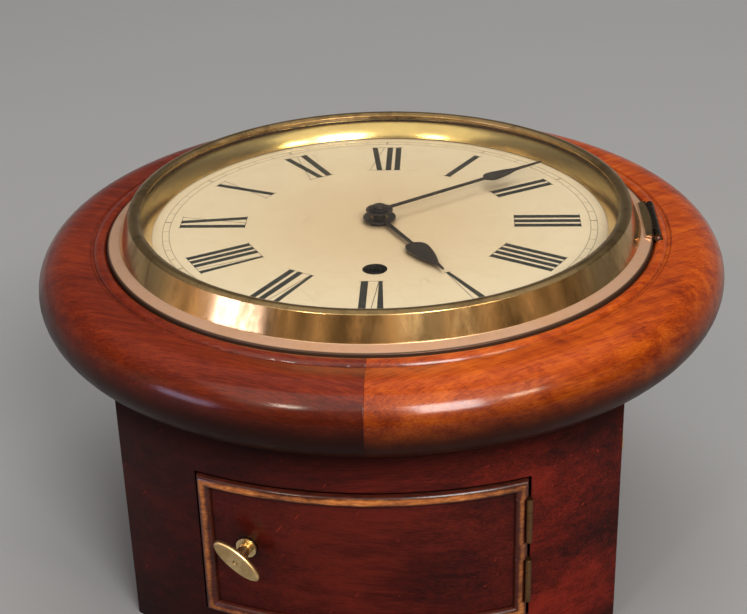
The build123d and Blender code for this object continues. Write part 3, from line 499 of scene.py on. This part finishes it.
for look, names in LOOKS.items():
    for node_name in names:
        slots = nodes[node_name].data.materials
        for index in range(len(slots)):
            slots[index] = MATS[look]
        if not len(slots):
            slots.append(MATS[look])

# ---------------------------------------------------------------- mesh helpers


def add_piece(name, verts, faces, material, body, smooth=True):
    """A new mesh piece from points in millimetres, riding on a body."""
    mesh = bpy.data.meshes.new(name)
    mesh.from_pydata([Vector(v) * MM for v in verts], [], faces)
    mesh.validate()
    mesh.materials.append(material)
    for face in mesh.polygons:
        face.use_smooth = smooth
    piece = bpy.data.objects.new(name, mesh)
    bpy.context.scene.collection.objects.link(piece)
    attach(piece, body)
    return piece


def flat_piece(name, outlines, low, high, material, body):
    """Thin plates from flat outlines in millimetres, all at one height."""
    verts, faces = [], []
    for outline in outlines:
        first, count = len(verts), len(outline)
        verts += [(x, y, low) for x, y in outline] + [(x, y, high) for x, y in outline]
        faces.append([first + count + i for i in range(count)])
        faces.append([first + i for i in reversed(range(count))])
        for i in range(count):
            j = (i + 1) % count
            faces.append([first + i, first + j, first + count + j, first + count + i])
    return add_piece(name, verts, faces, material, body, smooth=False)


# ---------------------------------------------------------------- bezel

RIM_R, RIM_EDGE = 110.8, 154.1
LIP_R, LIP_TOP = 105.4, 154.0
WALL_IN, GLASS_BED, GLASS_SEAT = 107.4, 150.6, 153.6
FLANGE_R, FLANGE_LOW, FLANGE_HIGH = 120.6, 139.7, 141.9
CROWN = (108.4, 155.0)
EDGE_ROUND = 0.5
WALL_LEAN, WALL_DROP = 4.4, 10.2
LATHE_STEPS = 360
NOTCH_BEHIND_PIN, NOTCH_BESIDE_LEAF = 1.6, 0.4
SIGHT_DEPTH, SIGHT_STEPS = 6.3, 10
SIGHT_STEEP, SIGHT_EASING = 63, 27


def round_to(ends, top, steps=9):
    """Points between two ends on the arc that passes through top."""
    (ax, ay), (bx, by), (cx, cy) = ends[0], top, ends[1]
    d = 2 * (ax * (by - cy) + bx * (cy - ay) + cx * (ay - by))
    ux = ((ax**2 + ay**2) * (by - cy) + (bx**2 + by**2) * (cy - ay) + (cx**2 + cy**2) * (ay - by)) / d
    uy = ((ax**2 + ay**2) * (cx - bx) + (bx**2 + by**2) * (ax - cx) + (cx**2 + cy**2) * (bx - ax)) / d
    start, end = atan2(ay - uy, ax - ux), atan2(cy - uy, cx - ux)
    radius = hypot(ax - ux, ay - uy)
    turns = [start + (end - start) * i / steps for i in range(steps + 1)]
    return [(ux + radius * cos(a), uy + radius * sin(a)) for a in turns]


BEZEL_PROFILE = (
    [(WALL_IN, GLASS_BED), (112.4, 143.5), (109.0, 143.5), (109.0, FLANGE_LOW), (FLANGE_R, FLANGE_LOW)]
    + [(FLANGE_R, FLANGE_HIGH)]
    + [
        (FLANGE_R - EDGE_ROUND + EDGE_ROUND * cos(a), FLANGE_HIGH + EDGE_ROUND * sin(a))
        for a in (0.4, 0.8, 1.1, 1.3)
    ]
    + [(118.6, 142.79), (117.0, 143.2), (115.65, 143.56), (115.3, 143.72), (115.14, 144.0)]
    + [(RIM_R + WALL_LEAN * share, RIM_EDGE - WALL_DROP * share) for share in (0.94, 0.7, 0.4, 0.1)]
    + round_to(((RIM_R, RIM_EDGE), (LIP_R, LIP_TOP)), CROWN)
    + [(LIP_R, GLASS_SEAT), (WALL_IN, GLASS_SEAT)]
)


def lathe(profile, steps):
    """A closed profile of (radius, height) points in millimetres, turned about the hands' axis."""
    count = len(profile)
    verts = []
    for step in range(steps):
        a = 2 * pi * step / steps
        verts += [(r * cos(a), r * sin(a), z) for r, z in profile]
    faces = []
    for step in range(steps):
        here, there = step * count, (step + 1) % steps * count
        for i in range(count):
            j = (i + 1) % count
            faces.append((here + i, there + i, there + j, here + j))
    return verts, faces


def make_bezel_ring():
    """The bezel with softened edges, at a finer step than the CAD node's, notched for the hinge."""
    verts, faces = lathe(BEZEL_PROFILE, LATHE_STEPS)
    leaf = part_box("bezel_hinge_leaf")
    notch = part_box("bezel_hinge_pin")[0].x / MM - NOTCH_BEHIND_PIN
    reach = (leaf[1].y - leaf[0].y) / MM / 2 + NOTCH_BESIDE_LEAF
    verts = [(min(x, notch), y, z) if x > 0 and abs(y) < reach else (x, y, z) for x, y, z in verts]
    ring = add_piece("bezel_ring_turned", verts, faces, MATS["bezel"], "bezel")
    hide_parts("bezel_ring")
    split_hard_edges(ring)


def split_hard_edges(piece, angle=32.0):
    """Marks edges sharper than the angle as hard, so that the rest shades smoothly."""
    mesh = bmesh.new()
    mesh.from_mesh(piece.data)
    bmesh.ops.recalc_face_normals(mesh, faces=mesh.faces)
    for edge in mesh.edges:
        edge.smooth = len(edge.link_faces) == 2 and edge.calc_face_angle() < radians(angle)
    mesh.to_mesh(piece.data)
    mesh.free()


def make_sight_ring():
    """The sight ring, steeper beside the dial than under the glass."""
    low, high = (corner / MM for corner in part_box("sight_ring"))
    outer, rise = high.x, high.z - low.z
    inner = outer - SIGHT_DEPTH
    turns = [radians(SIGHT_STEEP - SIGHT_EASING * i / SIGHT_STEPS) for i in range(SIGHT_STEPS + 1)]
    reach, climb = [0.0], [0.0]
    for turn in turns[:-1]:
        reach.append(reach[-1] + cos(turn))
        climb.append(climb[-1] + sin(turn))
    face = [
        (inner + 6.2 * r / reach[-1], low.z + (rise - 0.6) * z / climb[-1]) for r, z in zip(reach, climb)
    ]
    profile = face + [(outer, high.z - 0.1), (outer, high.z - 0.9), (inner + 0.9, low.z)]
    verts, faces = lathe(profile, LATHE_STEPS)
    ring = add_piece("sight_ring_turned", verts, faces, MATS["sight"], "bezel")
    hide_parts("sight_ring")
    split_hard_edges(ring)


make_bezel_ring()
make_sight_ring()

# ---------------------------------------------------------------- door bead

BOW_R, BOW_Y = 165.0, 32.0
BEAD_WIDTH, BEAD_PROUD = 5.2, 2.45
BEAD_STEPS, BEAD_STATIONS = 12, 60
HINGE_MIDDLES, HINGE_HALF = (39.0, 68.2), 10.65


def on_bow(x, z, height):
    """A point over the bowed face, at x and z along it and height off it."""
    swell = 1 + height / BOW_R
    return (x * swell, BOW_Y - sqrt(BOW_R**2 - x**2) * swell, z)


def make_bead():
    """A half-round bead, mitred at the corners and cut back beside the hinges."""
    low, high = (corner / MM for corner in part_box("bottom_door_panel"))
    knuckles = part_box("bottom_door_hinge_leaves")
    cut = knuckles[0].x / MM - 0.35
    corners = [(low.x, low.z), (high.x, low.z), (high.x, high.z), (low.x, high.z)]
    verts, faces, crest = [], [], []
    for side in range(4):
        (x0, z0), (x1, z1) = corners[side], corners[(side + 1) % 4]
        length = hypot(x1 - x0, z1 - z0)
        ux, uz = (x1 - x0) / length, (z1 - z0) / length
        stops = [length * i / BEAD_STATIONS for i in range(BEAD_STATIONS + 1)]
        if side == 1:
            for middle in HINGE_MIDDLES:
                for edge in (middle - HINGE_HALF, middle + HINGE_HALF):
                    stops += [edge - z0 - 0.02, edge - z0 + 0.02]
        first = len(verts)
        for stop in sorted(stops):
            z_here = z0 + uz * stop
            beside = side == 1 and any(abs(z_here - middle) < HINGE_HALF for middle in HINGE_MIDDLES)
            outer = high.x - cut if beside else 0.0
            for i in range(BEAD_STEPS + 1):
                angle = pi * i / BEAD_STEPS
                inward = outer + (BEAD_WIDTH - outer) * (1 - cos(angle)) / 2
                along = min(max(stop, inward), length - inward)
                height = BEAD_PROUD * sin(angle) ** 0.8 if 0 < i < BEAD_STEPS else 0.0
                x, z = x0 + ux * along - uz * inward, z0 + uz * along + ux * inward
                verts.append(on_bow(x, z, height))
                crest.append(sin(angle))
        row = BEAD_STEPS + 1
        for station in range(len(stops) - 1):
            a = first + station * row
            for i in range(BEAD_STEPS):
                faces.append((a + i, a + i + 1, a + row + i + 1, a + row + i))
            faces.append((a + BEAD_STEPS, a, a + row, a + row + BEAD_STEPS))
        faces.append([first + i for i in range(row)])
        faces.append([first + (len(stops) - 1) * row + i for i in reversed(range(row))])
    bead = add_piece("door_bead", verts, faces, MATS["bead"], "bottom_door")
    if len(bead.data.vertices) == len(crest):
        bead.data.attributes.new("crest", "FLOAT", "POINT").data.foreach_set("value", crest)
    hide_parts("bottom_door_beading")
    split_hard_edges(bead, 50.0)


make_bead()

# ---------------------------------------------------------------- dial markings

NUMERALS = ("XII", "I", "II", "III", "IIII", "V", "VI", "VII", "VIII", "IX", "X", "XI")
INNER, OUTER = 59.8, 89.2
THICK, THIN, SERIF, GAP = 3.05, 0.22, 0.2, 1.7
LETTER_WIDTH = {"I": THICK, "V": 5.7, "X": 6.9}
MINUTE_CIRCLES, CIRCLE_STEPS, HAIRLINE, FIVE_MINUTE = (93.5, 96.5), 240, 0.14, 0.4
DIAL_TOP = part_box("dial_plate")[1].z / MM


def stroke(inner, outer):
    """A stroke whose ends span (x0, x1) at the inner and the outer circle."""
    return [(inner[0], INNER), (inner[1], INNER), (outer[1], OUTER), (outer[0], OUTER)]


def letter_strokes(letter, x):
    """The strokes of one letter that starts at x."""
    if letter == "I":
        return [stroke((x, x + THICK), (x, x + THICK))]
    end = x + LETTER_WIDTH[letter]
    if letter == "V":
        return [
            stroke((x + 1.5, x + 3.0), (x, x + 2.8)),
            stroke((x + 2.8, x + 3.1), (end - THIN, end)),
        ]
    return [
        stroke((end - 2.9, end), (x, x + 2.9)),
        stroke((x, x + THIN), (end - THIN, end)),
    ]


def numeral_strokes(word):
    """Outlines of a roman numeral on the hours' circle, centred on x = 0 and squeezed if wide."""
    total = sum(LETTER_WIDTH[c] for c in word) + GAP * (len(word) - 1)
    x, strokes = -total / 2, []
    for c in word:
        strokes += letter_strokes(c, x)
        x += LETTER_WIDTH[c] + GAP
    half = total / 2 + 0.8
    foot_left = half - (1.7 if word[0] == "V" else 0.0)
    foot_right = half - (2.4 if word[-1] == "V" else 0.0)
    strokes.append([(-half, OUTER - SERIF), (half, OUTER - SERIF), (half, OUTER), (-half, OUTER)])
    strokes.append([
        (-foot_left, INNER), (foot_right, INNER), (foot_right, INNER + SERIF), (-foot_left, INNER + SERIF),
    ])
    squeeze = 0.88 if total > 15 else 1.0
    return [[(x * squeeze, y) for x, y in outline] for outline in strokes]


def turned(outline, angle):
    """An outline turned clockwise about the dial's centre by an angle in degrees."""
    a = radians(angle)
    return [(x * cos(a) + y * sin(a), -x * sin(a) + y * cos(a)) for x, y in outline]


def dial_markings():
    marks = []
    for hour, word in enumerate(NUMERALS):
        marks += [turned(outline, hour * 30) for outline in numeral_strokes(word)]
    flat_piece("dial_numerals", marks, DIAL_TOP + 0.01, DIAL_TOP + 0.05, MATS["ink"], "case")
    rings = []
    low, high = MINUTE_CIRCLES[0] + 0.1, MINUTE_CIRCLES[1] - 0.1
    for minute in range(60):
        half = HAIRLINE if minute % 5 else FIVE_MINUTE
        rings.append(turned([(-half, low), (half, low), (half, high), (-half, high)], minute * 6))
    for radius in MINUTE_CIRCLES:
        for step in range(CIRCLE_STEPS):
            a, b = 2 * pi * step / CIRCLE_STEPS, 2 * pi * (step + 1) / CIRCLE_STEPS
            inner, outer = radius - HAIRLINE, radius + HAIRLINE
            rings.append([
                (inner * cos(a), inner * sin(a)), (outer * cos(a), outer * sin(a)),
                (outer * cos(b), outer * sin(b)), (inner * cos(b), inner * sin(b)),
            ])
    flat_piece("dial_minute_ring", rings, DIAL_TOP + 0.01, DIAL_TOP + 0.045, MATS["faint_ink"], "case")


dial_markings()

# ---------------------------------------------------------------- floor and light


def set_stage():
    bpy.ops.mesh.primitive_plane_add(size=14, location=(0, 0, -0.0001))
    floor = bpy.context.object
    floor.name = "floor"
    floor.data.materials.append(MATS["floor"])


AIM = Vector((0, 0, 0.12))


def area_light(name, azimuth, elevation, distance, size, power, colour, mirrored=True):
    """A soft light aimed at the clock. Azimuth is from the viewer's side towards +X. One that
    isn't mirrored lights surfaces without showing as a highlight in them."""
    a, e = radians(azimuth), radians(elevation)
    place = Vector((sin(a) * cos(e), -cos(a) * cos(e), sin(e))) * distance + AIM
    data = bpy.data.lights.new(name, "AREA")
    data.shape = "RECTANGLE"
    data.size, data.size_y = size
    data.energy = power
    data.color = colour
    light = bpy.data.objects.new(name, data)
    light.location = place
    light.rotation_euler = (AIM - place).to_track_quat("-Z", "Y").to_euler()
    light.visible_glossy = mirrored
    bpy.context.scene.collection.objects.link(light)


def set_lights():
    area_light("window", 24, 38, 2.6, (0.80, 0.90), 46, (1.0, 0.97, 0.93))
    area_light("lamp_left", -30, 38, 2.6, (0.30, 0.22), 8, (1.0, 0.90, 0.74))
    area_light("lamp_right", 50, 37, 2.6, (0.45, 0.28), 9, (1.0, 0.86, 0.62))
    area_light("screen_left", -58, 9, 2.4, (0.8, 0.45), 9, (0.70, 0.66, 1.0))
    area_light("ceiling", 170, 66, 2.8, (2.2, 1.6), 46, (1.0, 0.96, 0.90), mirrored=False)
    area_light("ceiling_glow", 0, 60, 3.0, (5.0, 2.4), 36, (1.0, 0.93, 0.82))


def world_node(tree, kind, links, **values):
    """A node of the world's tree, with values set by name and links by input."""
    n = tree.nodes.new(kind)
    for key, value in values.items():
        n.inputs[key.replace("_", " ")].default_value = value
    for key, output in links.items():
        tree.links.new(output, n.inputs[key])
    return n


def world_span(tree, value, low, high, to_low, to_high):
    limits = {"From_Min": low, "From_Max": high, "To_Min": to_low, "To_Max": to_high}
    return world_node(tree, "ShaderNodeMapRange", {"Value": value}, **limits).outputs[0]


def set_world():
    """A dim room, brightest overhead, with warm uneven bands low down on the viewer's side."""
    world = bpy.data.worlds.new("room")
    world.use_nodes = True
    tree = world.node_tree
    towards = tree.nodes.new("ShaderNodeTexCoord").outputs["Generated"]
    y, z = world_node(tree, "ShaderNodeSeparateXYZ", {"Vector": towards}).outputs[1:3]
    horizon = world_span(tree, z, 0.06, 0.40, 0.34, 0.14)
    overhead = world_span(tree, z, 0.55, 0.80, 0.0, 0.42)
    dim = world_node(tree, "ShaderNodeMath", {0: horizon, 1: overhead}).outputs[0]
    upright = world_node(tree, "ShaderNodeMapping", {"Vector": towards}, Scale=(1, 1, 0.12)).outputs[0]
    uneven = world_node(
        tree, "ShaderNodeTexNoise", {"Vector": upright}, Scale=4.6, Detail=3.0, Roughness=0.62
    ).outputs["Fac"]
    bands = world_span(tree, uneven, 0.47, 0.60, 0.10, 1.0)
    front = world_span(tree, y, 0.25, -0.05, 0.0, 1.0)
    low = world_span(tree, z, 0.62, 0.48, 0.0, 1.0)
    both = world_node(tree, "ShaderNodeMath", {0: front, 1: low})
    both.operation = "MULTIPLY"
    share = both.outputs[0]
    strength = world_node(tree, "ShaderNodeMix", {0: share, 2: dim, 3: bands}).outputs[0]
    colour = world_node(tree, "ShaderNodeMix", {0: share})
    colour.data_type = "RGBA"
    colour.inputs[6].default_value = (0.58, 0.58, 0.58, 1)
    colour.inputs[7].default_value = (0.72, 0.50, 0.33, 1)
    background = tree.nodes["Background"]
    tree.links.new(colour.outputs[2], background.inputs[0])
    tree.links.new(strength, background.inputs[1])
    bpy.context.scene.world = world
    bpy.context.scene.view_settings.view_transform = "Standard"
    bpy.context.scene.view_settings.look = "None"


set_stage()
set_lights()
set_world()
